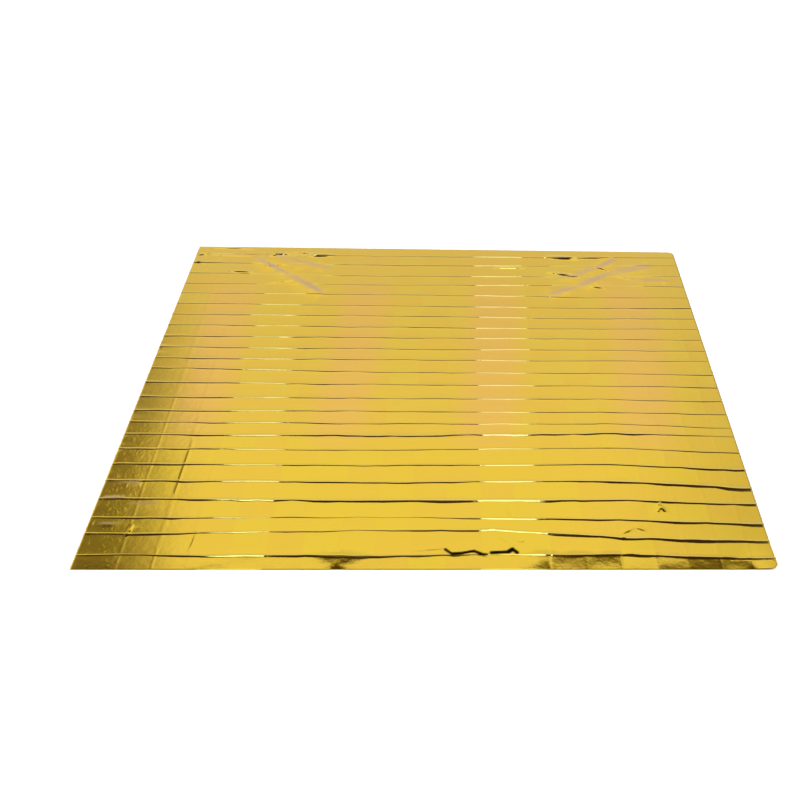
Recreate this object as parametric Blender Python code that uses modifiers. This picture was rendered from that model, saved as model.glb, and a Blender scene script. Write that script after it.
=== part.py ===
"""Emergency foil blanket, spread out flat: one sheet of metallised polyester film.

The film comes out of its packet with the accordion folds still in it, so 24 long
creases run from end to end, about 64 mm apart, with shorter cross folds between them.
The sheet lies on its flat panels, and each crease stands up from them as a low ridge.

Metres, +Z up. The origin is under the middle of the sheet, on the surface it lies on.
X runs along the long side, Y along the short one, away from the front edge.
"""

import math
import random

import bmesh
import bpy

MM = 0.001

# Driving dimensions.
SHEET_LENGTH = 2.10
SHEET_WIDTH = 1.60
FILM_THICKNESS = 1.0 * MM  # stands in for 12 micrometres of film
CREASE_HALF_WIDTH = 9 * MM
LOWEST_CREST, HIGHEST_CREST = 0.7, 1.15  # a crest's unevenness, as shares of its rise
RIGHT_CORNER_RADIUS = 22 * MM
UNEVEN_SEED = 7

# How far each corner of the laid sheet is from its place on a true rectangle, in mm.
CORNER_LIE = {
    # corner: (along X, along Y)
    "front_left": (-11, -29),
    "front_right": (-11, 28),
    "back_left": (14, 12),
    "back_right": (8, -11),
}

# Where along the length the crease table below gives each crease's distance from the
# front edge, in mm.
CREASE_STATIONS = (150, 850, 1660, 2060)

# One row for each long crease, front to back, in mm.
LONG_CREASES = (
    # left, middle, right, right end, rise
    (51, 50, 53, 40, 3.6),
    (125, 138, 113, 104, 3.8),
    (183, 185, 180, 165, 3.0),
    (255, 251, 255, 240, 4.0),
    (326, 322, 331, 308, 3.4),
    (394, 391, 399, 380, 3.0),
    (459, 456, 470, 453, 2.4),
    (521, 521, 536, 525, 3.8),
    (578, 575, 580, 562, 2.4),
    (632, 632, 635, 626, 2.8),
    (697, 695, 697, 692, 2.6),
    (770, 764, 765, 760, 2.6),
    (843, 829, 830, 826, 2.4),
    (897, 895, 898, 899, 2.4),
    (958, 954, 957, 957, 2.4),
    (1019, 1019, 1021, 1019, 2.4),
    (1084, 1080, 1080, 1085, 2.0),
    (1147, 1148, 1142, 1147, 2.0),
    (1214, 1210, 1208, 1214, 2.0),
    (1280, 1283, 1276, 1280, 2.0),
    (1343, 1346, 1357, 1356, 2.0),
    (1414, 1404, 1416, 1428, 2.4),
    (1485, 1481, 1491, 1500, 2.4),
    (1550, 1546, 1550, 1560, 2.4),
)

# Where the cross folds meet the front edge, in mm from the left end.
CROSS_FOLDS = (
    129, 234, 336, 447, 555, 664, 771, 880, 985, 1095,
    1204, 1313, 1415, 1523, 1629, 1734, 1832, 1930, 2025,
)

# Loose wrinkles that run across the creases: from one end to the other, in mm.
WRINKLES = (
    # from x, from y, to x, to y, rise, half width
    (280, 1510, 567, 1285, 3.0, 28),
    (357, 1545, 567, 1430, 2.6, 24),
    (287, 1562, 392, 1556, 3.2, 20),
    (1534, 1566, 1780, 1550, 3.2, 20),
    (1555, 1300, 1800, 1450, 3.0, 30),
    (1740, 1340, 1960, 1510, 2.8, 28),
    (1260, 133, 1313, 62, 4.0, 22),
    (1415, 500, 1880, 545, 3.0, 26),
)

WRINKLE_END_SHARE = 0.35  # of its rise that a wrinkle still has where it ends

# The crumpled margins: the sheet's left end, and the band in front of the first crease.
LEFT_CRUMPLE_WIDTH = 130
LEFT_CRUMPLE_REACH = 1000
FRONT_CRUMPLE_DEPTH = 48
CRUMPLE_RISE = 2.4

# Extra rows of the mesh near the front and back edges, in mm from the edge, which shape
# the round corners and the margins.
EDGE_ROWS = (0, 3, 8, 15, 24)
LEFT_END_COLUMNS = (0, 30, 62, 96)
RIGHT_END_COLUMNS = (2070, 2100)


def between(low, high, share):
    return low + (high - low) * share


def middle_of(places):
    return (min(places) + max(places)) / 2


def smooth_step(low, high, value):
    """0 at low and under, 1 at high and over, with a smooth rise between them."""
    share = min(max((value - low) / (high - low), 0), 1)
    return share * share * (3 - 2 * share)


def crease_distance(crease, along):
    """A crease's distance from the front edge, in mm, at a distance along the length."""
    stations = CREASE_STATIONS
    if along <= stations[0]:
        return crease[0]
    for index in range(len(stations) - 1):
        if along <= stations[index + 1]:
            start, end = stations[index], stations[index + 1]
            share = smooth_step(start, end, along)
            return between(crease[index], crease[index + 1], share)
    return crease[3]


def sheet_rows():
    """The mesh's rows from front to back, each as (distance function, rise in mm)."""
    depth = SHEET_WIDTH / MM
    half = CREASE_HALF_WIDTH / MM
    rows = []

    def add_edge_row(distance):
        rows.append((lambda along: distance, 0))

    def add_crease_row(crease, offset, rise):
        rows.append((lambda along: crease_distance(crease, along) + offset, rise))

    def add_panel_row(crease, following):
        rows.append(
            (
                lambda along: (
                    crease_distance(crease, along) + crease_distance(following, along)
                ) / 2,
                0,
            )
        )

    for distance in EDGE_ROWS:
        add_edge_row(distance)
    for index, crease in enumerate(LONG_CREASES):
        add_crease_row(crease, -half, 0)
        add_crease_row(crease, 0, crease[4])
        add_crease_row(crease, half, 0)
        if index + 1 < len(LONG_CREASES):
            add_panel_row(crease, LONG_CREASES[index + 1])
    for distance in reversed(EDGE_ROWS):
        add_edge_row(depth - distance)
    return rows


def wrinkle_rise(along, across):
    """The tallest wrinkle's height at a place on the sheet, in mm."""
    tallest = 0
    for x0, y0, x1, y1, rise, half_width in WRINKLES:
        run_x, run_y = x1 - x0, y1 - y0
        length = math.hypot(run_x, run_y)
        share = ((along - x0) * run_x + (across - y0) * run_y) / length**2
        share = min(max(share, 0), 1)
        away = math.hypot(along - x0 - share * run_x, across - y0 - share * run_y)
        taper = between(WRINKLE_END_SHARE, 1, math.sin(math.pi * share))
        tallest = max(tallest, rise * taper * math.exp(-((away / half_width) ** 2)))
    return tallest


def crumple_share(along, across):
    """How crumpled the film is at a place, from 0 to 1."""
    left = 1 - smooth_step(LEFT_CRUMPLE_WIDTH / 2, LEFT_CRUMPLE_WIDTH, along)
    left *= 1 - smooth_step(LEFT_CRUMPLE_REACH / 2, LEFT_CRUMPLE_REACH, across)
    front = 1 - smooth_step(FRONT_CRUMPLE_DEPTH / 2, FRONT_CRUMPLE_DEPTH, across)
    return max(left, front)


def corner_inset(across):
    """How far the right end draws in at a row near either corner, in mm."""
    radius = RIGHT_CORNER_RADIUS / MM
    from_edge = min(across, SHEET_WIDTH / MM - across)
    if from_edge >= radius:
        return 0
    return radius - math.sqrt(radius**2 - (radius - from_edge) ** 2)


def laid_place(along, across):
    """Where a place on the flat sheet, in mm, comes on the surface, in metres."""
    right = along * MM / SHEET_LENGTH
    back = across * MM / SHEET_WIDTH
    shift = []
    for axis in (0, 1):
        front = between(
            CORNER_LIE["front_left"][axis], CORNER_LIE["front_right"][axis], right
        )
        rear = between(
            CORNER_LIE["back_left"][axis], CORNER_LIE["back_right"][axis], right
        )
        shift.append(between(front, rear, back) * MM)
    return along * MM + shift[0], across * MM + shift[1]


def foil_material():
    material = bpy.data.materials.new("gold_metallised_film")
    material.use_nodes = True
    surface = material.node_tree.nodes["Principled BSDF"]
    surface.inputs["Base Color"].default_value = (0.76, 0.50, 0.07, 1)
    surface.inputs["Metallic"].default_value = 1
    surface.inputs["Roughness"].default_value = 0.2
    return material


def foil_sheet(collection):
    """The film's underside as an open grid, thickened upwards by Solidify."""
    rows = sheet_rows()
    columns = LEFT_END_COLUMNS + CROSS_FOLDS + RIGHT_END_COLUMNS
    last_row, last_column = len(rows) - 1, len(columns) - 1
    uneven = random.Random(UNEVEN_SEED)

    sheet = bmesh.new()
    bmesh.ops.create_grid(sheet, x_segments=last_column, y_segments=last_row, size=0.5)
    for vertex in sheet.verts:
        row = round((vertex.co.y + 0.5) * last_row)
        column = round((vertex.co.x + 0.5) * last_column)
        distance_at, rise = rows[row]
        along = columns[column]
        across = distance_at(along)
        if column == last_column:
            along -= corner_inset(across)
        height = rise * uneven.uniform(LOWEST_CREST, HIGHEST_CREST)
        height += wrinkle_rise(along, across)
        height += CRUMPLE_RISE * crumple_share(along, across) * uneven.random()
        x, y = laid_place(along, across)
        vertex.co = (x, y, height * MM)
    middle_x = middle_of([vertex.co.x for vertex in sheet.verts])
    middle_y = middle_of([vertex.co.y for vertex in sheet.verts])
    bmesh.ops.translate(sheet, verts=sheet.verts, vec=(-middle_x, -middle_y, 0))

    mesh = bpy.data.meshes.new("foil_sheet")
    sheet.to_mesh(mesh)
    sheet.free()
    mesh.materials.append(foil_material())
    blanket = bpy.data.objects.new("foil_sheet", mesh)
    collection.objects.link(blanket)
    film = blanket.modifiers.new("film_thickness", "SOLIDIFY")
    film.thickness = FILM_THICKNESS
    film.offset = 1
    return blanket


for leftover in list(bpy.data.objects):
    bpy.data.objects.remove(leftover)
blanket_parts = bpy.data.collections.new("emergency_foil_blanket")
bpy.context.scene.collection.children.link(blanket_parts)
foil_sheet(blanket_parts)
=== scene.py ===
"""Looks of the emergency foil blanket: a gold film sheet spread out flat, on a pale floor.

The sheet is worked out flat first, in millimetres from its front left corner, as the
film is cut. Its creases then lift it, and it is laid where the frame says.
"""

import math
import random

import bmesh
import bpy
import numpy as np
from mathutils import Matrix, Vector, noise


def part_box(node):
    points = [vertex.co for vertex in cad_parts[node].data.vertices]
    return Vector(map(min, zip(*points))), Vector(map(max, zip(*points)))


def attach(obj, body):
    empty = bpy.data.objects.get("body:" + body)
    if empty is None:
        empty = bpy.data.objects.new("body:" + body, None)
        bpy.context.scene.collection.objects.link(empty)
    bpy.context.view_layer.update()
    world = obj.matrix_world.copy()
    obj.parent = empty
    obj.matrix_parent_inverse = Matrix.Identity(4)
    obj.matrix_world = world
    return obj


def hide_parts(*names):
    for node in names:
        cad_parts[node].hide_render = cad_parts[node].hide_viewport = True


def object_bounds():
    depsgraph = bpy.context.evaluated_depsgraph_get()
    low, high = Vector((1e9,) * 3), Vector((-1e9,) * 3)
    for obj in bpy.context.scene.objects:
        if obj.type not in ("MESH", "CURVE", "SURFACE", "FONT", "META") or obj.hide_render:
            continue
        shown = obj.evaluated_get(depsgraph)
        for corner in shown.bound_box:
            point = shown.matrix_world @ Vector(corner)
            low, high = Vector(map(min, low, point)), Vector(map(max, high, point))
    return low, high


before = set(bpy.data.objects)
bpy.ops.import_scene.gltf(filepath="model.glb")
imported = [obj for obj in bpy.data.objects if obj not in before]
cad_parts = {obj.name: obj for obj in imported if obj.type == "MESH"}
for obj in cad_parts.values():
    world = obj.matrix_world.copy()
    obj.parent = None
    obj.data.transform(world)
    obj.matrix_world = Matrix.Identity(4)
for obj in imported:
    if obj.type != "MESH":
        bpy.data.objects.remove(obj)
cad_low, cad_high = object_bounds()

# ---------------------------------------------------------------------------
# The sheet. One piece of 12 micrometre polyester film, cut from the roll to 2.10 m by
# 1.60 m with no hem. It is folded like an accordion across its width and then in turns
# along its length to fit a pocket, and those folds stay in it when it is spread out.
# ---------------------------------------------------------------------------

MM = 0.001
FILM_LENGTH = 2100
FILM_WIDTH = 1600
FILM_THICKNESS = 0.1
RIGHT_CORNER_RADIUS = 22

# Where the accordion folds lie at five stations along the length, as distances from the
# front edge, and how wide each one's slope is there, all in mm.
STATIONS = (157, 876, 1276, 1677, 2062)
LONG_CREASES = (
    # five distances, then five slopes
    (51, 50, 51, 53, 40, 4.0, 9.5, 1.0, 10.0, 6.5),
    (125, 138, 142, 113, 104, 6.0, 2.4, 9.0, 12.0, 11.5),
    (183, 185, 183, 180, 165, 6.5, 0.9, 4.9, 7.6, 13.0),
    (255, 251, 253, 255, 240, 6.5, 11.0, 10.3, 8.0, 9.5),
    (326, 322, 326, 331, 308, 7.0, 6.5, 7.0, 9.0, 15.0),
    (394, 391, 395, 399, 380, 6.5, 4.5, 5.5, 6.5, 11.0),
    (459, 456, 463, 470, 453, 6.5, 3.8, 3.6, 3.4, 5.5),
    (521, 521, 528, 536, 525, 6.5, 8.0, 8.5, 9.0, 3.4),
    (578, 575, 577, 580, 562, 6.0, 3.6, 3.4, 3.2, 3.2),
    (632, 632, 633, 635, 626, 7.0, 3.8, 3.8, 3.8, 4.2),
    (697, 695, 696, 697, 692, 6.6, 4.2, 3.7, 3.2, 4.8),
    (770, 764, 764, 765, 760, 6.8, 4.0, 3.7, 3.4, 4.4),
    (843, 829, 829, 830, 826, 6.0, 4.0, 3.8, 3.6, 4.4),
    (897, 895, 896, 898, 899, 6.4, 4.2, 3.8, 3.4, 3.4),
    (958, 954, 955, 957, 957, 6.8, 4.2, 3.8, 3.4, 3.2),
    (1019, 1019, 1020, 1021, 1019, 6.0, 4.8, 4.2, 3.6, 3.4),
    (1084, 1080, 1080, 1080, 1085, 5.0, 4.4, 3.9, 3.4, 3.4),
    (1147, 1148, 1145, 1142, 1147, 4.6, 5.2, 4.3, 3.4, 3.8),
    (1214, 1210, 1209, 1208, 1214, 4.4, 3.8, 3.7, 3.6, 5.6),
    (1280, 1283, 1280, 1276, 1280, 4.2, 3.4, 3.6, 3.8, 3.8),
    (1343, 1346, 1351, 1357, 1356, 4.0, 3.6, 3.7, 3.8, 3.6),
    (1414, 1404, 1410, 1416, 1428, 5.5, 3.8, 4.0, 4.2, 3.8),
    (1485, 1481, 1486, 1491, 1500, 5.2, 4.8, 4.2, 3.6, 3.4),
    (1550, 1546, 1548, 1550, 1560, 5.4, 3.4, 3.9, 4.4, 3.2),
)
# The film slopes up to each crest from in front and drops short behind it. The creases at
# the back are steeper than those in front, which were pressed harder.
SLOPE_STEEPNESS = ((0, 10, 23), (0.12, 0.23, 0.34))  # by crease, counted from the front
CREASE_DROP = 1.6
PAINTED_SHEEN_SHARE = 0.28  # how far a crease's slopes are painted paler: a painted sheen, so that the lamps' highlights there read whitish
PAINTED_SHEEN_HEIGHTS = (0.02, 0.25)  # how high up a crease the painted sheen starts, and is whole

# How uneven the creases are: how far they stray, and over what length, in mm.
CREASE_JOGS = (1.1, 105)
CREASE_WOBBLES = (0.5, 37)
SLOPE_CHANGES = (0.22, 52)  # as a share of the slope, over a length in mm
SLOPE_LIMITS = (0.4, 1.6)

# Where the folds across the width meet the front edge, in mm from the left end.
CROSS_FOLDS = (
    135, 245, 350, 465, 576, 687, 796, 906, 1012, 1122,
    1230, 1338, 1438, 1544, 1647, 1749, 1844, 1938, 2029,
)
CROSS_FOLD_RISE = 0.12
CROSS_FOLD_REACH = 7

# The panels between the folds bulge a little, but lie flatter near the left end.
PANEL_EDGES = np.array((0,) + CROSS_FOLDS + (FILM_LENGTH,))
PANEL_BULGE = 0.2
BULGES_FROM = (200, 500)  # mm from the left end: none before the first, all past the second
PANEL_WAVE_RISE = 0.25
PANEL_WAVE_SIZE = 160
PANEL_WAVE_SLICE = 5.0  # which slice of the noise the waves are read from

# How far each panel of the front band tips up to the first crease, in mm, left to right.
FRONT_BAND_LIFTS = (
    0.3, 0.1, 0.1, 0.1, 0.1, 0.1, 0.1, 0.2, 0.1, 0.1,
    0.1, 0.1, 0.3, 1.35, 1.25, 0.2, 1.0, 1.45, 1.35, 0.6,
)
# Facets of the front band that tip up more, each between a bent lower edge and the first
# crease. One that dips under 0 runs off the sheet's front edge.
FRONT_FACETS = (
    # places along, and the lower edge's distance from the front edge at each, in mm
    ((703, 769, 787, 817, 827, 918), (52, 20, -5, -5, 16, 52)),
    ((1350, 1394, 1414, 1436), (52, 32, -5, -5)),
    ((2032, 2062, 2091), (52, 30, 52)),
)
FRONT_FACET_SLOPE = 0.022

# Broad flat-sided folds that pull the back corners askew, from one end to the other, in
# mm. Their crests are crushed so hard that the tint has worn to tan. The last four are
# short hard ridges in the crushed left end.
BROAD_FOLDS = (
    # from x, from y, to x, to y, rise, reach, wear, half width of the wear
    (274, 1522, 448, 1400, 3.0, 55, 1.0, 9),
    (448, 1400, 607, 1283, 3.0, 60, 1.0, 13),
    (355, 1540, 622, 1448, 2.4, 48, 0.9, 7),
    (417, 1500, 489, 1440, 1.2, 40, 0.2, 6),
    (1531, 1290, 1658, 1345, 2.2, 48, 0.9, 11),
    (1658, 1345, 1803, 1440, 2.8, 58, 0.9, 14),
    (1803, 1440, 1996, 1500, 2.2, 52, 0.7, 17),
    (1580, 1400, 1678, 1420, 1.6, 42, 0.5, 10),
    (1658, 1430, 1755, 1475, 2.4, 46, 0.8, 10),
    (1755, 1475, 1842, 1545, 2.6, 46, 0.9, 12),
    (1871, 1400, 2062, 1392, 1.4, 40, 0.6, 8),
    (21, 312, 124, 318, 1.2, 12, 1.0, 4),
    (14, 255, 80, 258, 1.2, 12, 1.0, 4),
    (21, 157, 94, 160, 1.2, 12, 1.0, 4),
    (95, 235, 209, 240, 0.6, 10, 0.6, 3),
)
FOLD_BLUNTNESS, WEAR_BLUNTNESS = 0.5, 0.3  # of their ends: a lower power is blunter
WEAR_EDGE = (1.4, 0.7)  # where the wear starts and is whole, as shares of its half width

# The facets beside the broad folds that get a painted glint, painted brighter into the tint: a
# skewed mosaic, of which most pieces show.
FACETED_REACH = 30  # a fold that reaches less has none
FACET_EDGE = (0.9, 0.6)  # where they start and are whole, as shares of the fold's reach
FACET_LENGTH, FACET_DEPTH = 75, 42
FACET_SKEWS = (140, 170)
FACET_SLICE, FACET_THRESHOLD = 3.0, -0.3

# The long creases die down where the broad folds cross them.
ASKEW_PATCHES = (
    # middle x, middle y, half width, half depth
    (448, 1440, 190, 130),
    (1745, 1420, 230, 120),
)
ASKEW_KEPT = 0.2  # the share of their height that they keep there
ASKEW_EDGE = (0.7, 1.1)

# Small sharp wrinkles, from one end to the other, in mm.
SHARP_WRINKLES = (
    # from x, from y, to x, to y, rise, reach
    (330, 1544, 378, 1544, 4.8, 17),
    (378, 1546, 412, 1560, 4.0, 14),
    (416, 1570, 574, 1552, 3.0, 9),
    (509, 1543, 607, 1548, 4.4, 15),
    (19, 1543, 38, 1543, 4.2, 11),
    (19, 1487, 38, 1489, 4.2, 11),
    (63, 1592, 251, 1586, 2.6, 8),
    (63, 1541, 251, 1536, 2.2, 7),
    (115, 1536, 118, 1490, 1.8, 6),
    (332, 1462, 417, 1478, 2.4, 8),
    (360, 1350, 458, 1370, 2.4, 8),
    (178, 1428, 274, 1425, 2.8, 9),
    (1551, 1557, 1675, 1544, 5.0, 18),
    (1675, 1548, 1813, 1551, 2.4, 9),
    (1548, 1446, 1673, 1414, 4.2, 14),
    (1313, 1471, 1445, 1471, 2.6, 8),
    (1745, 1488, 1803, 1462, 2.6, 9),
    (1716, 1350, 1774, 1338, 2.2, 8),
    (1842, 1418, 1890, 1405, 2.2, 8),
    (1124, 68, 1143, 53, 0.4, 11),
    (1143, 53, 1175, 57, 0.4, 11),
    (1175, 57, 1209, 65, 0.4, 11),
    (1209, 65, 1249, 50, 0.4, 11),
    (1260, 59, 1314, 62, 0.4, 11),
    (1314, 62, 1340, 59, 0.4, 16),
    (1266, 133, 1338, 82, 0.3, 6),
    (1341, 108, 1352, 96, 0.4, 8),
    (1352, 96, 1364, 108, 0.4, 8),
    (1310, 238, 1327, 189, 1.4, 5),
    (1794, 250, 1797, 228, 1.8, 6),
    (1797, 228, 1786, 210, 1.6, 6),
    (1797, 228, 1811, 212, 1.6, 6),
    (1664, 130, 1707, 152, 0.8, 8),
    (1707, 152, 1738, 140, 0.8, 8),
    (1027, 66, 1125, 76, 0.35, 6),
    (571, 503, 1037, 505, 0.6, 5),
    (1037, 505, 1276, 514, 0.6, 5),
    (245, 280, 251, 490, 0.5, 5),
    (344, 62, 355, 129, 0.3, 4),
    (790, 77, 800, 133, 0.3, 4),
    (135, 120, 141, 150, 1.6, 7),
)
WRINKLE_END_SHARE = 0.5  # of its rise that a wrinkle still has where it ends

# Gaps where the film is pinched over on itself, in mm. No light comes out of them, and their
# shade is a painted shadow: black painted into the tint.
PINCHED_GAPS = (
    # from x, from y, to x, to y, half width
    (1123, 70, 1143, 54, 4.5),
    (1143, 54, 1175, 57, 5.0),
    (1175, 57, 1209, 64, 4.5),
    (1209, 64, 1237, 52, 5.0),
    (1237, 52, 1247, 52, 4.5),
    (1261, 58, 1314, 61, 5.5),
    (1314, 62, 1326, 70, 7.0),
    (1326, 70, 1339, 59, 6.0),
    (360, 1545, 384, 1546, 4.5),
)
GAP_EDGE = (1.35, 0.75)  # where a gap's painted shadow starts and is black, as shares of its half width

# The crumpled margins: the left end, and the band in front of the first crease.
LEFT_CRUMPLE_WIDTH = 160
LEFT_CRUMPLE_REACH = 700
FRONT_CRUMPLE_DEPTH = 60
SMOOTH_FRONT_REACH = 1305  # the front band is nearly smooth to here from the left
FRONT_CRUMPLE_SHARES = (0.03, 0.06)  # up to there, and past it
CRUMPLE_RISE = 0.7
CRUMPLE_SIZES = (46, 22, 10)  # the facets' widths, coarse to fine
WORN_CRUMPLING = 0.4  # how crumpled the worn crests are

# The left end's edge curls up here and there. It is low at the very edge, highest just
# behind it, and dies out inwards.
LEFT_CURL_RISE, LEFT_CURL_SIZE, LEFT_CURL_WIDTH = 1.1, 26, 34
LEFT_CURL_SPAN = (0, 10, 60, 200)
LEFT_CURL_SHARES = (0, 1, 0.6, 0)
LEFT_CURL_SLICE = (0.5, 2.0)

CORNER_LIFT, CORNER_LIFT_REACH = 5, 110  # at the front right corner

# The mesh's rows across a crease, as shares of its slope in front and of its drop behind,
# and its rows and columns between two folds, as shares of the way.
SLOPE_ROWS = (-1.25, -0.95, -0.5, -0.06)
DROP_ROWS = (0.3, 0.9, 2.5)
PANEL_ROWS = (1 / 3, 2 / 3)
PANEL_COLUMNS = (0, 0.07, 0.14, 0.5, 0.86, 0.93)
LEFT_CURL_COLUMNS = (10, 20)
EDGE_ROWS = (0, 3, 8, 15, 24, 33)
SHORTEST_EDGE = 5
CUT_MARGINS = (14, 7, 2)  # how far round the wrinkles each cut of the mesh goes, in mm
WEAR_CUT_MARGIN = 12  # and how far round the worn crests the first cut goes

UNEVEN_SEED = 11
uneven = random.Random(UNEVEN_SEED)


def jogs(size, spacing):
    """Seeded knots along the length: places in mm, and an amount at each."""
    places = np.arange(0, FILM_LENGTH + spacing, spacing)
    return places, np.array([uneven.gauss(0, size) for _ in places])


crease_jogs = [jogs(*CREASE_JOGS) for _ in LONG_CREASES]
crease_wobbles = [jogs(*CREASE_WOBBLES) for _ in LONG_CREASES]
crease_strengths = [jogs(*SLOPE_CHANGES) for _ in LONG_CREASES]
BANDS, PANELS = range(len(LONG_CREASES) + 1), range(len(CROSS_FOLDS) + 1)
panel_bulges = np.array([[uneven.gauss(0, PANEL_BULGE) for _ in PANELS] for _ in BANDS])
panel_tints = np.array([[uneven.random() for _ in PANELS] for _ in BANDS])


def eased(low, high, value):
    """0 at low and under, 1 at high and over, with a smooth rise between them."""
    share = np.clip((value - low) / (high - low), 0, 1)
    return share * share * (3 - 2 * share)


def fading(edge, size, away):
    """1 near a line and 0 away from it. Edge says where, as shares of a size."""
    outer, inner = edge
    return eased(-outer * size, -inner * size, -away)


def pinched(share):
    """A fold's section, from 1 at its sharp crest to 0 at its foot."""
    return np.clip(1 - np.abs(share), 0, 1) ** 2


def noise_at(first, second, third, kind=noise.noise):
    """Noise at many points, given by their three coordinates."""
    points = zip(*np.broadcast_arrays(first, second, third))
    return np.array([kind(Vector(point)) for point in points])


def distance_to_line(along, across, line):
    """Each point's distance to a line, and its share of the way down it."""
    x0, y0, x1, y1 = line[:4]
    run_x, run_y = x1 - x0, y1 - y0
    share = ((along - x0) * run_x + (across - y0) * run_y) / (run_x**2 + run_y**2)
    share = np.clip(share, 0, 1)
    return np.hypot(along - x0 - share * run_x, across - y0 - share * run_y), share


def crease_distance(index, along):
    """A crease's distance from the front edge, in mm, at places along the length."""
    distance = np.interp(along, STATIONS, LONG_CREASES[index][:5])
    distance = distance + np.interp(along, *crease_jogs[index])
    return distance + np.interp(along, *crease_wobbles[index])


def crease_slope(index, along):
    """How wide a crease's front slope is, in mm."""
    width = np.interp(along, STATIONS, LONG_CREASES[index][5:])
    return width * np.clip(1 + np.interp(along, *crease_strengths[index]), *SLOPE_LIMITS)


def crease_height(index, along, across):
    """A crease's height, in mm: up its slope in front, and down its drop behind."""
    offset = across - crease_distance(index, along)
    width = crease_slope(index, along)
    rise = width * np.interp(index, *SLOPE_STEEPNESS)
    return rise * np.clip(np.minimum(1 + offset / width, 1 - offset / CREASE_DROP), 0, 1)


def flat_rows(along):
    """The mesh's rows from front to back: each one's distances from the front edge."""
    rows = [np.full(len(along), float(distance)) for distance in EDGE_ROWS]
    for index in range(len(LONG_CREASES)):
        crest, slope = crease_distance(index, along), crease_slope(index, along)
        foot = crest + SLOPE_ROWS[0] * slope
        if index > 0:
            rows += [(1 - share) * last_foot + share * foot for share in PANEL_ROWS]
        rows += [crest + share * slope for share in SLOPE_ROWS]
        rows += [crest + share * CREASE_DROP for share in DROP_ROWS]
        last_foot = rows[-1]
    rows += [np.full(len(along), float(FILM_WIDTH - distance)) for distance in EDGE_ROWS[::-1]]
    return rows


def flat_columns():
    """The mesh's columns from left to right, as places along the length."""
    columns = list(LEFT_CURL_COLUMNS) + [FILM_LENGTH]
    for left, right in zip(PANEL_EDGES, PANEL_EDGES[1:]):
        columns += [left + (right - left) * share for share in PANEL_COLUMNS]
    return np.array(sorted(columns), float)


def near_sharp_wrinkles(along, across, margin):
    """Which points are on a small wrinkle or within a margin of its foot, in mm."""
    near = along < 0
    for wrinkle in SHARP_WRINKLES:
        away, _ = distance_to_line(along, across, wrinkle)
        near |= away < wrinkle[5] + margin
    return near


def in_worked_film(along, across):
    """Which points are in the margins or on the broad folds' worn crests."""
    fine = (along < LEFT_CRUMPLE_WIDTH) & (across < LEFT_CRUMPLE_REACH)
    fine |= (across < FRONT_CRUMPLE_DEPTH) | (along < LEFT_CURL_WIDTH)
    for fold in BROAD_FOLDS:
        away, _ = distance_to_line(along, across, fold)
        fine |= away < fold[7] + WEAR_CUT_MARGIN
    return fine


def flat_mesh():
    """The cut sheet, flat: a grid whose rows follow the creases, finer where it counts."""
    columns = flat_columns()
    rows = np.array(flat_rows(columns))
    flat = bmesh.new()
    last_row, last_column = len(rows) - 1, len(columns) - 1
    bmesh.ops.create_grid(flat, x_segments=last_column, y_segments=last_row, size=0.5)
    for vertex in flat.verts:
        row = round((vertex.co.y + 0.5) * last_row)
        column = round((vertex.co.x + 0.5) * last_column)
        vertex.co = (columns[column], rows[row, column], 0)
    for margin in CUT_MARGINS:
        middles = np.array([(e.verts[0].co + e.verts[1].co) / 2 for e in flat.edges])
        lengths = np.array([e.calc_length() for e in flat.edges])
        wanted = near_sharp_wrinkles(middles[:, 0], middles[:, 1], margin)
        if margin == CUT_MARGINS[0]:
            wanted |= in_worked_film(middles[:, 0], middles[:, 1])
        wanted &= lengths > SHORTEST_EDGE
        chosen = [edge for edge, cut in zip(flat.edges, wanted) if cut]
        bmesh.ops.subdivide_edges(flat, edges=chosen, cuts=1, use_grid_fill=True)
    bmesh.ops.triangulate(flat, faces=[face for face in flat.faces if len(face.verts) > 4])
    return flat


def long_creases(along, across):
    """The tallest long crease's height, in mm, lower in the askew patches."""
    kept = np.ones(len(along))
    for middle_x, middle_y, half_width, half_depth in ASKEW_PATCHES:
        off = np.hypot((along - middle_x) / half_width, (across - middle_y) / half_depth)
        kept *= ASKEW_KEPT + (1 - ASKEW_KEPT) * eased(*ASKEW_EDGE, off)
    height = np.zeros(len(along))
    for index in range(len(LONG_CREASES)):
        height = np.maximum(height, kept * crease_height(index, along, across))
    return height


def panels_and_bands(along, across):
    """The panel that each point is in, counted from the left, and its band from the front."""
    band = np.zeros(len(along), int)
    for index in range(len(LONG_CREASES)):
        band += across > crease_distance(index, along)
    return np.searchsorted(CROSS_FOLDS, along), band


def panel_domes(along, across, panel, band):
    """How far the panels bulge or sink, in mm: most in the middle, nothing at the folds."""
    left, right = PANEL_EDGES[panel], PANEL_EDGES[panel + 1]
    band_starts = np.array([0] + [crease[1] for crease in LONG_CREASES] + [FILM_WIDTH])
    front, back = band_starts[band], band_starts[band + 1]
    domed = 1
    for place, start, end in ((along, left, right), (across, front, back)):
        from_middle = (place - start) / (end - start) - 0.5
        domed = domed * np.clip(1 - 4 * from_middle**2, 0, 1)
    return panel_bulges[band, panel] * domed * eased(*BULGES_FROM, along)


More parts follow.
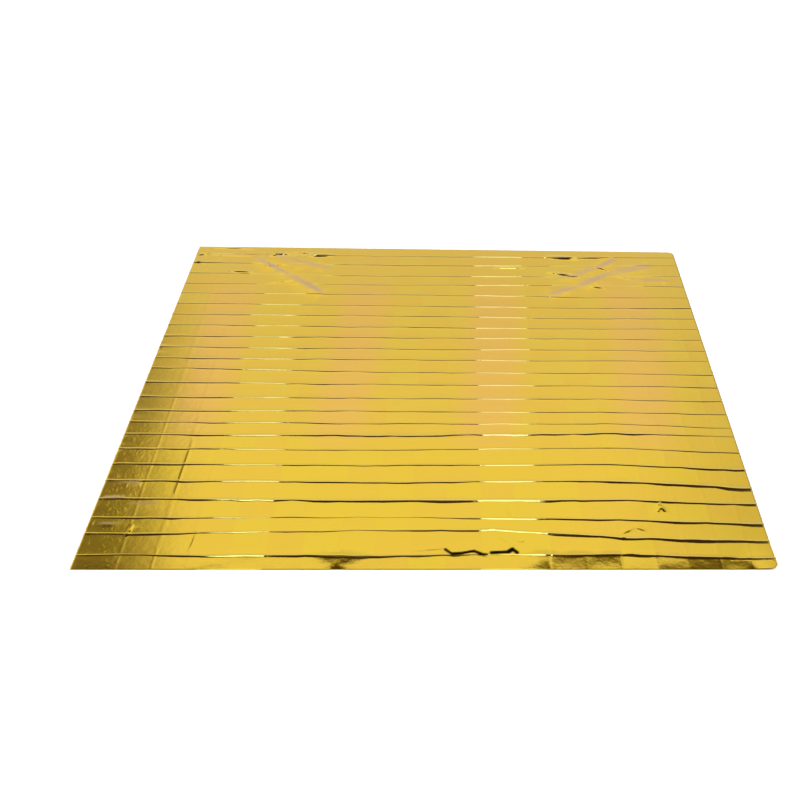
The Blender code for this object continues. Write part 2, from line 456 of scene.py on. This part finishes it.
def broad_folds(along, across):
    """The broad folds' height in mm, their wear, and the painted glint on the facets beside
    them.
    """
    height, wear, facets = np.zeros((3, len(along)))
    skewed_x = along / FACET_LENGTH + across / FACET_SKEWS[0]
    skewed_y = across / FACET_DEPTH - along / FACET_SKEWS[1]
    chosen = noise_at(skewed_x, skewed_y, FACET_SLICE, noise.cell) > FACET_THRESHOLD
    for fold in BROAD_FOLDS:
        rise, reach, worn, half_wear = fold[4:]
        away, share = distance_to_line(along, across, fold)
        arch = np.sin(np.pi * share)
        height += rise * np.clip(1 - away / reach, 0, 1) * arch**FOLD_BLUNTNESS
        on_crest = fading(WEAR_EDGE, half_wear, away) * arch**WEAR_BLUNTNESS
        wear = np.maximum(wear, on_crest * worn)
        if reach > FACETED_REACH:
            # the painted glint on the facets beside the fold
            beside = fading(FACET_EDGE, reach, away) * chosen
            facets = np.maximum(facets, beside * arch**WEAR_BLUNTNESS)
    return height, wear, facets


def sharp_wrinkles(along, across):
    """The tallest small wrinkle's height, in mm."""
    height = np.zeros(len(along))
    for wrinkle in SHARP_WRINKLES:
        rise, reach = wrinkle[4:]
        away, share = distance_to_line(along, across, wrinkle)
        taper = WRINKLE_END_SHARE + (1 - WRINKLE_END_SHARE) * np.sin(np.pi * share)
        height = np.maximum(height, np.clip(1 - away / reach, 0, 1) * taper * rise)
    return height


def painted_gap_shadows(along, across):
    """How far into a gap each point is, from 0 to 1, which is how black its painted shadow is.
    """
    depth = np.zeros(len(along))
    for gap in PINCHED_GAPS:
        away, _ = distance_to_line(along, across, gap)
        depth = np.maximum(depth, fading(GAP_EDGE, gap[4], away))
    return depth


def front_band(along, across, panel):
    """How far the film in front of the first crease tips up, in mm."""
    first = crease_distance(0, along)
    in_front = across < first + CREASE_DROP
    middles = (PANEL_EDGES[1:] + PANEL_EDGES[:-1]) / 2
    smooth_lift = np.interp(along, middles, FRONT_BAND_LIFTS)
    own_lift = np.array(FRONT_BAND_LIFTS)[panel]
    lift = np.where(along < SMOOTH_FRONT_REACH, smooth_lift, own_lift)
    height = lift * in_front * np.clip(across / first, 0, 1)
    for places, lower_edge in FRONT_FACETS:
        above = across - np.interp(along, places, lower_edge)
        inside = (along > places[0]) & (along < places[-1]) & in_front
        height += FRONT_FACET_SLOPE * np.maximum(above, 0) * inside
    return height


def crumple(along, across):
    """Crushed film's facets: folded noise, coarse to fine, from 0 to about 1."""
    total = np.zeros(len(along))
    for size in CRUMPLE_SIZES:
        folded = np.abs(noise_at(along / size, across / size, size))
        total += folded * size / CRUMPLE_SIZES[0]
    return total


def crumpled_margins(along, across):
    """How crumpled the film is at the left end, and in front, each from 0 to 1."""
    left = 1 - eased(LEFT_CRUMPLE_WIDTH / 3, LEFT_CRUMPLE_WIDTH, along)
    left *= 1 - eased(LEFT_CRUMPLE_REACH / 2, LEFT_CRUMPLE_REACH, across)
    front = 1 - eased(FRONT_CRUMPLE_DEPTH / 2, FRONT_CRUMPLE_DEPTH, across)
    front *= np.where(along < SMOOTH_FRONT_REACH, *FRONT_CRUMPLE_SHARES)
    return left, front


def film_heights(along, across):
    """How high the film stands at points of the sheet, in mm, and the marks on it there,
    wear and tint along with painted light and shade: each an amount from 0 to 1, by the
    name of its attribute."""
    panel, band = panels_and_bands(along, across)
    creases = long_creases(along, across)
    folds, wear, facets = broad_folds(along, across)
    left, front = crumpled_margins(along, across)
    curls = np.abs(noise_at(LEFT_CURL_SLICE[0], across / LEFT_CURL_SIZE, LEFT_CURL_SLICE[1]))
    waves = noise_at(along / PANEL_WAVE_SIZE, across / PANEL_WAVE_SIZE, PANEL_WAVE_SLICE)
    from_corner = np.hypot(FILM_LENGTH - along, across)

    height = creases + folds + sharp_wrinkles(along, across) + front_band(along, across, panel)
    height += PANEL_BULGE + panel_domes(along, across, panel, band)
    for fold in CROSS_FOLDS:
        height += pinched((along - fold) / CROSS_FOLD_REACH) * CROSS_FOLD_RISE
    height += CRUMPLE_RISE * np.maximum(left, front) * crumple(along, across)
    height += LEFT_CURL_RISE * curls * np.interp(along, LEFT_CURL_SPAN, LEFT_CURL_SHARES)
    height += PANEL_WAVE_RISE * (1 + waves)
    height += CORNER_LIFT * (1 - eased(0, CORNER_LIFT_REACH, from_corner))
    marks = {
        # painted sheen: the creases' slopes are painted paler
        "painted_crease_sheen": PAINTED_SHEEN_SHARE * eased(*PAINTED_SHEEN_HEIGHTS, creases),
        "crush_wear": wear,
        # painted glint on the facets beside the broad folds
        "painted_facet_glint": facets,
        # painted shadow in the pinched gaps
        "painted_gap_shadow": painted_gap_shadows(along, across),
        "crumpling": np.maximum(left, WORN_CRUMPLING * wear),
        "panel_tint": panel_tints[band, panel],
    }
    return np.maximum(height, 0), marks


# How far each corner of the laid sheet is from its place on a true rectangle, in mm.
CORNER_LIE = {
    "front_left": (-11, -29),
    "front_right": (-11, 28),
    "back_left": (14, 12),
    "back_right": (8, -11),
}


def laid_plan(along, across):
    """Where points of the flat sheet come on the surface, in mm from its own corner."""
    radius = RIGHT_CORNER_RADIUS
    from_edge = np.clip(np.minimum(across, FILM_WIDTH - across), 0, radius)
    inset = radius - np.sqrt(radius**2 - (radius - from_edge) ** 2)
    near_end = eased(FILM_LENGTH - 3 * radius, FILM_LENGTH, along)
    right, back = along / FILM_LENGTH, across / FILM_WIDTH
    place = [along - inset * near_end, across.copy()]
    for axis in (0, 1):
        lie = {corner: shift[axis] for corner, shift in CORNER_LIE.items()}
        front = lie["front_left"] * (1 - right) + lie["front_right"] * right
        rear = lie["back_left"] * (1 - right) + lie["back_right"] * right
        place[axis] = place[axis] + front * (1 - back) + rear * back
    return place


def film_piece():
    """The sheet lifted by its folds and laid in the middle of its body's box."""
    flat = flat_mesh()
    mesh = bpy.data.meshes.new("gold_film")
    flat.to_mesh(mesh)
    flat.free()
    points = np.empty(len(mesh.vertices) * 3)
    mesh.vertices.foreach_get("co", points)
    along, across = points.reshape(-1, 3)[:, 0].copy(), points.reshape(-1, 3)[:, 1].copy()
    height, marks = film_heights(along, across)
    x, y = laid_plan(along, across)
    low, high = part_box("foil_sheet")
    middle = (low + high) / 2
    x += middle.x / MM - (x.min() + x.max()) / 2
    y += middle.y / MM - (y.min() + y.max()) / 2
    z = low.z / MM + FILM_THICKNESS + height
    mesh.vertices.foreach_set("co", (np.stack([x, y, z], 1) * MM).ravel())
    for name, values in marks.items():
        layer = mesh.attributes.new(name, "FLOAT", "POINT")
        layer.data.foreach_set("value", values.astype(np.float32))
    mesh.polygons.foreach_set("use_smooth", [True] * len(mesh.polygons))
    mesh.update()
    film = bpy.data.objects.new("gold_film", mesh)
    bpy.context.scene.collection.objects.link(film)
    body = film.modifiers.new("film_thickness", "SOLIDIFY")
    body.thickness = FILM_THICKNESS * MM
    body.offset = -1
    return film


def linear(hex_colour):
    """An sRGB hex colour as the linear RGBA that a socket takes."""
    parts = [int(hex_colour[i : i + 2], 16) / 255 for i in (1, 3, 5)]
    return [p / 12.92 if p <= 0.04045 else ((p + 0.055) / 1.055) ** 2.4 for p in parts] + [1]


def add_node(tree, kind, sockets=None, **settings):
    """A node with its settings. sockets maps a socket to its value, or to the output
    of another node that feeds it."""
    node = tree.nodes.new(kind)
    for name, value in settings.items():
        setattr(node, name, value)
    for name, value in (sockets or {}).items():
        if isinstance(value, bpy.types.NodeSocket):
            tree.links.new(value, node.inputs[name])
        else:
            node.inputs[name].default_value = value
    return node


# The mix node's sockets for colours, which it tells apart by number only.
MIX_AMOUNT, MIX_FIRST, MIX_SECOND, MIX_RESULT = 0, 6, 7, 2

# Metallised polyester, gold side up: aluminium laid on the film in a vacuum, under a
# clear gold tint. It mirrors the room like gold leaf, a little hazily. Some light and
# shade is painted into its tint: a paler painted sheen on the creases' slopes, which
# makes the lamps' highlights there read whitish; soft warmer bands, a painted reflection
# of a warm part of the room; a painted glint on facets beside the broad folds; and a
# painted shadow, black, in the gaps where the film is pinched over on itself.
FILM_GOLD = "#F4CC32"
FILM_AMBER = "#F6C034"
FILM_PEACH_REFLECTION = "#F8C44A"
FILM_YELLOW = "#F6CF20"
FILM_PAINTED_GLINT = "#FFD01C"
FILM_CRUSHED = "#E4BE82"
FILM_PAINTED_SHEEN = "#F4E890"
FILM_PAINTED_SHADOW = "#140C02"
AMBER_SHARE = 0.4  # how far the most amber panel goes to amber
FILM_ROUGHNESS, WORN_ROUGHNESS = (0.05, 0.11), 0.3
COAT_ROUGHNESS = 0.03
HAZE_SIZE = 90
# Soft warmer bands along the sheet: a painted reflection of a warm part of the room, laid into
# the tint.
PEACH_BAND_SPACING = 525
PEACH_FROM, PEACH_TO = (400, 620), (1250, 1420)  # across the sheet: comes in, dies out
PEACH_AT_BACK = 0.25
CRINKLE_SIZE = 22
CRUSHED_SIZE, CRUSHED_GAIN = 19, 2.6  # crushed film's ridges: width, and rise over the rest
RELIEF_DEPTH = 0.15


def film_material():
    """The gold film's finish, in the piece's own place, with its marks from the mesh."""
    material = bpy.data.materials.new("metallised_polyester_gold")
    material.use_nodes = True
    tree = material.node_tree
    surface = tree.nodes["Principled BSDF"]
    place = add_node(tree, "ShaderNodeTexCoord").outputs["Object"]

    # Where the painted reflection's warmer bands lie.
    band = add_node(
        tree,
        "ShaderNodeTexWave",
        {
            "Vector": place,
            "Scale": 2 * math.pi / 20 / (PEACH_BAND_SPACING * MM),
            "Distortion": 2.2,
            "Detail": 1.5,
            "Detail Scale": 0.6,
            "Phase Offset": 0.33,
        },
        wave_type="BANDS",
        bands_direction="X",
    )
    across = add_node(tree, "ShaderNodeSeparateXYZ", {"Vector": place}).outputs["Y"]
    comes_in = add_node(
        tree,
        "ShaderNodeMapRange",
        {
            "Value": across,
            "From Min": (PEACH_FROM[0] - FILM_WIDTH / 2) * MM,
            "From Max": (PEACH_FROM[1] - FILM_WIDTH / 2) * MM,
        },
        interpolation_type="SMOOTHSTEP",
    ).outputs["Result"]
    dies_out = add_node(
        tree,
        "ShaderNodeMapRange",
        {
            "Value": across,
            "From Min": (PEACH_TO[0] - FILM_WIDTH / 2) * MM,
            "From Max": (PEACH_TO[1] - FILM_WIDTH / 2) * MM,
            "To Min": 1.0,
            "To Max": PEACH_AT_BACK,
        },
        interpolation_type="SMOOTHSTEP",
    ).outputs["Result"]
    zone = add_node(tree, "ShaderNodeMath", {0: comes_in, 1: dies_out}, operation="MULTIPLY")
    middles = add_node(
        tree,
        "ShaderNodeMapRange",
        {"Value": band.outputs["Fac"], "From Min": 0.45, "From Max": 1.0},
        interpolation_type="SMOOTHSTEP",
    )
    peach_reflection = add_node(
        tree,
        "ShaderNodeMath",
        {0: zone.outputs["Value"], 1: middles.outputs["Result"]},
        operation="MULTIPLY",
    )
    marks = {
        name: add_node(tree, "ShaderNodeAttribute", attribute_name=name).outputs["Fac"]
        for name in (
            "painted_crease_sheen",
            "crush_wear",
            "crumpling",
            "panel_tint",
            "painted_facet_glint",
            "painted_gap_shadow",
        )
    }
    amber = add_node(
        tree,
        "ShaderNodeMath",
        {0: marks["panel_tint"], 1: AMBER_SHARE},
        operation="MULTIPLY",
    )
    colour = linear(FILM_YELLOW)
    for amount, tint in (
        (comes_in, FILM_GOLD),
        (amber.outputs["Value"], FILM_AMBER),
        # painted reflection: the warmer bands
        (peach_reflection.outputs["Value"], FILM_PEACH_REFLECTION),
        # painted glint on the facets beside the broad folds
        (marks["painted_facet_glint"], FILM_PAINTED_GLINT),
        # painted sheen on the creases' slopes
        (marks["painted_crease_sheen"], FILM_PAINTED_SHEEN),
        (marks["crush_wear"], FILM_CRUSHED),
        # painted shadow: black in the pinched gaps
        (marks["painted_gap_shadow"], FILM_PAINTED_SHADOW),
    ):
        mix = add_node(
            tree,
            "ShaderNodeMix",
            {MIX_AMOUNT: amount, MIX_FIRST: colour, MIX_SECOND: linear(tint)},
            data_type="RGBA",
        )
        colour = mix.outputs[MIX_RESULT]
    tree.links.new(colour, surface.inputs["Base Color"])

    haze = add_node(
        tree,
        "ShaderNodeTexNoise",
        {"Vector": place, "Scale": 1 / (HAZE_SIZE * MM), "Detail": 3.0},
    )
    rough = add_node(
        tree,
        "ShaderNodeMapRange",
        {
            "Value": haze.outputs["Fac"],
            "To Min": FILM_ROUGHNESS[0],
            "To Max": FILM_ROUGHNESS[1],
        },
    )
    roughness = add_node(
        tree,
        "ShaderNodeMath",
        {0: marks["crush_wear"], 1: WORN_ROUGHNESS, 2: rough.outputs["Result"]},
        operation="MULTIPLY_ADD",
    )
    tree.links.new(roughness.outputs["Value"], surface.inputs["Roughness"])

    crinkle = add_node(
        tree,
        "ShaderNodeTexNoise",
        {"Vector": place, "Scale": 1 / (CRINKLE_SIZE * MM), "Detail": 2.0},
    )
    crushed = add_node(
        tree,
        "ShaderNodeTexNoise",
        {"Vector": place, "Scale": 1 / (CRUSHED_SIZE * MM), "Detail": 3.0, "Distortion": 0.6},
        noise_type="RIDGED_MULTIFRACTAL",
    )
    ridges = add_node(
        tree,
        "ShaderNodeMath",
        {0: crushed.outputs["Fac"], 1: marks["crumpling"]},
        operation="MULTIPLY",
    )
    relief = add_node(
        tree,
        "ShaderNodeMath",
        {0: ridges.outputs["Value"], 1: CRUSHED_GAIN, 2: crinkle.outputs["Fac"]},
        operation="MULTIPLY_ADD",
    )
    bump = add_node(
        tree,
        "ShaderNodeBump",
        {"Height": relief.outputs["Value"], "Distance": RELIEF_DEPTH * MM},
    )
    tree.links.new(bump.outputs["Normal"], surface.inputs["Normal"])

    # No coat over the painted shadow in the gaps, so that it stays black.
    coat_outside_painted_shadow = add_node(
        tree,
        "ShaderNodeMath",
        {0: 1.0, 1: marks["painted_gap_shadow"]},
        operation="SUBTRACT",
    )
    tree.links.new(coat_outside_painted_shadow.outputs["Value"], surface.inputs["Coat Weight"])
    surface.inputs["Coat Roughness"].default_value = COAT_ROUGHNESS
    surface.inputs["Metallic"].default_value = 1
    return material


film = film_piece()
film.data.materials.append(film_material())
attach(film, "root")
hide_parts("foil_sheet")

# ---------------------------------------------------------------------------
# The floor. A pale matt painted floor, which the sheet lies on. It is wide enough to
# have no edge in view.
# ---------------------------------------------------------------------------

FLOOR_SIDE = 30
FLOOR_PAINT, PAINT_ROUGHNESS = "#F4F4F2", 0.9

floor_mesh = bmesh.new()
bmesh.ops.create_grid(floor_mesh, x_segments=1, y_segments=1, size=FLOOR_SIDE / 2)
floor_data = bpy.data.meshes.new("floor")
floor_mesh.to_mesh(floor_data)
floor_mesh.free()
floor = bpy.data.objects.new("floor", floor_data)
floor.location.z = cad_low.z
bpy.context.scene.collection.objects.link(floor)

# Matt paint, which scatters the light evenly and shows no reflection of the sheet.
paint = bpy.data.materials.new("matt_floor_paint")
paint.use_nodes = True
paint_surface = paint.node_tree.nodes["Principled BSDF"]
paint_surface.inputs["Base Color"].default_value = linear(FLOOR_PAINT)
paint_surface.inputs["Roughness"].default_value = PAINT_ROUGHNESS
floor_data.materials.append(paint)

# ---------------------------------------------------------------------------
# The camera. It stands in front of the sheet's long side, a little over head height, and
# looks down on the middle.
# ---------------------------------------------------------------------------

CAMERA_PLACE = Vector((0.014, -1.920, 1.949))
CAMERA_PAN, CAMERA_TIP, CAMERA_ROLL = 3.47, 47.0, -1.71
CAMERA_LENS, SENSOR_WIDTH = 33.33, 36

camera_data = bpy.data.cameras.new("camera")
camera_data.lens = CAMERA_LENS
camera_data.sensor_width = SENSOR_WIDTH
camera = bpy.data.objects.new("camera", camera_data)
turn = Matrix.Rotation(math.radians(CAMERA_PAN), 4, "Z")
turn = turn @ Matrix.Rotation(math.radians(90 - CAMERA_TIP), 4, "X")
turn = turn @ Matrix.Rotation(math.radians(CAMERA_ROLL), 4, "Z")
camera.matrix_world = Matrix.Translation(CAMERA_PLACE) @ turn
bpy.context.scene.collection.objects.link(camera)
bpy.context.scene.camera = camera

# ---------------------------------------------------------------------------
# The studio's light. A wide soft box with soft edges stands behind the sheet, two long
# louvred lamps hang over it, and the room round them is dim overhead and paler near the
# floor. A broad fill lights the floor from above.
# ---------------------------------------------------------------------------

FILL_STRENGTH = 3.2
FILL_ANGLE = 40
FILL_TILT = (-8, 6)

fill = bpy.data.lights.new("soft_fill", "SUN")
fill.energy = FILL_STRENGTH
fill.angle = math.radians(FILL_ANGLE)
fill_lamp = bpy.data.objects.new("soft_fill", fill)
fill_lamp.rotation_euler = (math.radians(FILL_TILT[0]), math.radians(FILL_TILT[1]), 0)
fill_lamp.visible_glossy = False
bpy.context.scene.collection.objects.link(fill_lamp)

# The room's shade by how far up one looks, as the sine of the angle.
ROOM_SHADES = (
    (0.0, "#CFCBC4"),
    (0.3, "#E2E0DC"),
    (0.56, "#E4E2E4"),
    (0.7, "#8C8884"),
    (0.79, "#7C7870"),
    (0.87, "#3A2A1E"),
    (0.94, "#3A2A1E"),
    (0.985, "#A0A0A0"),
)
BACKDROP = "#FFFFFF"

room = bpy.data.worlds.new("studio_room")
room.use_nodes = True
bpy.context.scene.world = room
tree = room.node_tree
direction = add_node(tree, "ShaderNodeTexCoord").outputs["Generated"]
upward = add_node(tree, "ShaderNodeSeparateXYZ", {"Vector": direction})

# The soft box is flat and faces the sheet at the height the camera looks down from. Places
# on its face are measured from its middle, as shares of how far off it is.
SIDES_LEAN = 0.14  # how far its sides lean in over its height

facing = add_node(
    tree,
    "ShaderNodeVectorRotate",
    {"Vector": direction, "Angle": -math.radians(CAMERA_TIP)},
    rotation_type="X_AXIS",
)
face = add_node(tree, "ShaderNodeSeparateXYZ", {"Vector": facing.outputs["Vector"]}).outputs
across = add_node(tree, "ShaderNodeMath", {0: face["X"], 1: face["Y"]}, operation="DIVIDE")
up = add_node(tree, "ShaderNodeMath", {0: face["Z"], 1: face["Y"]}, operation="DIVIDE")
leaning = add_node(
    tree,
    "ShaderNodeMath",
    {0: up.outputs["Value"], 1: SIDES_LEAN, 2: across.outputs["Value"]},
    operation="MULTIPLY_ADD",
)
places_on_face = {
    "depth": face["Y"],
    "up": up.outputs["Value"],
    "leaning": leaning.outputs["Value"],
}
STEPS = {
    # name: (what it goes by, from, to, value before, value after)
    "ahead": ("depth", 0.0, 0.1, 0, 1),
    "box_left": ("leaning", -0.41, -0.298, 0, 1),
    "box_top": ("up", 0.246, 0.285, 1, 0),
    "box_right": ("leaning", 0.22, 0.6, 1, 0.66),
    "box_glow": ("up", -0.23, 0.12, 0.75, 0.915),
}
steps = {}
for name, (goes_by, start, end, before, after) in STEPS.items():
    steps[name] = add_node(
        tree,
        "ShaderNodeMapRange",
        {
            "Value": places_on_face[goes_by],
            "From Min": start,
            "From Max": end,
            "To Min": before,
            "To Max": after,
        },
        interpolation_type="SMOOTHSTEP",
    ).outputs["Result"]

PRODUCTS = {
    # name: the steps that are multiplied
    "box_cover": ("ahead", "box_left", "box_top"),
    "box_light": ("box_glow", "box_right"),
}
for name, factors in PRODUCTS.items():
    value = steps[factors[0]]
    for factor in factors[1:]:
        product = add_node(
            tree,
            "ShaderNodeMath",
            {0: value, 1: steps[factor]},
            operation="MULTIPLY",
        )
        value = product.outputs["Value"]
    steps[name] = value

shade = add_node(tree, "ShaderNodeValToRGB", {"Fac": upward.outputs["Z"]})
stops = shade.color_ramp.elements
while len(stops) < len(ROOM_SHADES):
    stops.new(0.5)
for stop, (height, colour) in zip(stops, ROOM_SHADES):
    stop.position = height
    stop.color = linear(colour)
boxed = add_node(
    tree,
    "ShaderNodeMix",
    {
        MIX_AMOUNT: steps["box_cover"],
        MIX_FIRST: shade.outputs["Color"],
        MIX_SECOND: steps["box_light"],
    },
    data_type="RGBA",
)
seen = add_node(tree, "ShaderNodeLightPath").outputs["Is Camera Ray"]
backdrop = add_node(
    tree,
    "ShaderNodeMix",
    {MIX_AMOUNT: seen, MIX_FIRST: boxed.outputs[MIX_RESULT], MIX_SECOND: linear(BACKDROP)},
    data_type="RGBA",
)
tree.links.new(backdrop.outputs[MIX_RESULT], tree.nodes["Background"].inputs["Color"])

# The louvred lamps run over the sheet from front to back. Their louvres let light out
# only steeply downward, so that the creases' slopes mirror them and the panels do not.
LAMP_PLACES = (-0.90, 0.42)  # how far to the right of the sheet's middle
LAMP_WIDTH, LAMP_LENGTH, LAMP_HEIGHT = 0.27, 5.0, 1.25
LAMP_COLOUR, LAMP_STRENGTH = "#AFC8FF", 3.4
LOUVRE_CUTOFF = (0.095, 0.11)  # as 1 less the cosine of the angle from straight down

louvred = bpy.data.materials.new("louvred_lamp")
louvred.use_nodes = True
lamp_tree = louvred.node_tree
lamp_tree.nodes.remove(lamp_tree.nodes["Principled BSDF"])
facing_down = add_node(lamp_tree, "ShaderNodeLayerWeight", {"Blend": 0.5}).outputs["Facing"]
lit = add_node(
    lamp_tree,
    "ShaderNodeMapRange",
    {
        "Value": facing_down,
        "From Min": LOUVRE_CUTOFF[0],
        "From Max": LOUVRE_CUTOFF[1],
        "To Min": 1.0,
        "To Max": 0.0,
    },
    interpolation_type="SMOOTHSTEP",
)
glow = add_node(
    lamp_tree,
    "ShaderNodeEmission",
    {"Color": linear(LAMP_COLOUR), "Strength": LAMP_STRENGTH},
)
clear = add_node(lamp_tree, "ShaderNodeBsdfTransparent")
lamp_mix = add_node(
    lamp_tree,
    "ShaderNodeMixShader",
    {0: lit.outputs["Result"], 1: clear.outputs["BSDF"], 2: glow.outputs["Emission"]},
)
lamp_surface = lamp_tree.nodes["Material Output"].inputs["Surface"]
lamp_tree.links.new(lamp_mix.outputs["Shader"], lamp_surface)

for number, place in enumerate(LAMP_PLACES):
    panel_mesh = bpy.data.meshes.new(f"louvred_lamp_{number}")
    corners = [(-1, -1), (1, -1), (1, 1), (-1, 1)]
    panel_mesh.from_pydata(
        [(x * LAMP_WIDTH / 2, y * LAMP_LENGTH / 2, 0) for x, y in corners], [], [(0, 1, 2, 3)]
    )
    panel_mesh.materials.append(louvred)
    lamp = bpy.data.objects.new(f"louvred_lamp_{number}", panel_mesh)
    lamp.location = (place, 0, LAMP_HEIGHT)
    for kind_of_ray in ("camera", "diffuse", "transmission", "volume_scatter", "shadow"):
        setattr(lamp, f"visible_{kind_of_ray}", False)
    bpy.context.scene.collection.objects.link(lamp)

bpy.context.scene.view_settings.view_transform = "Standard"
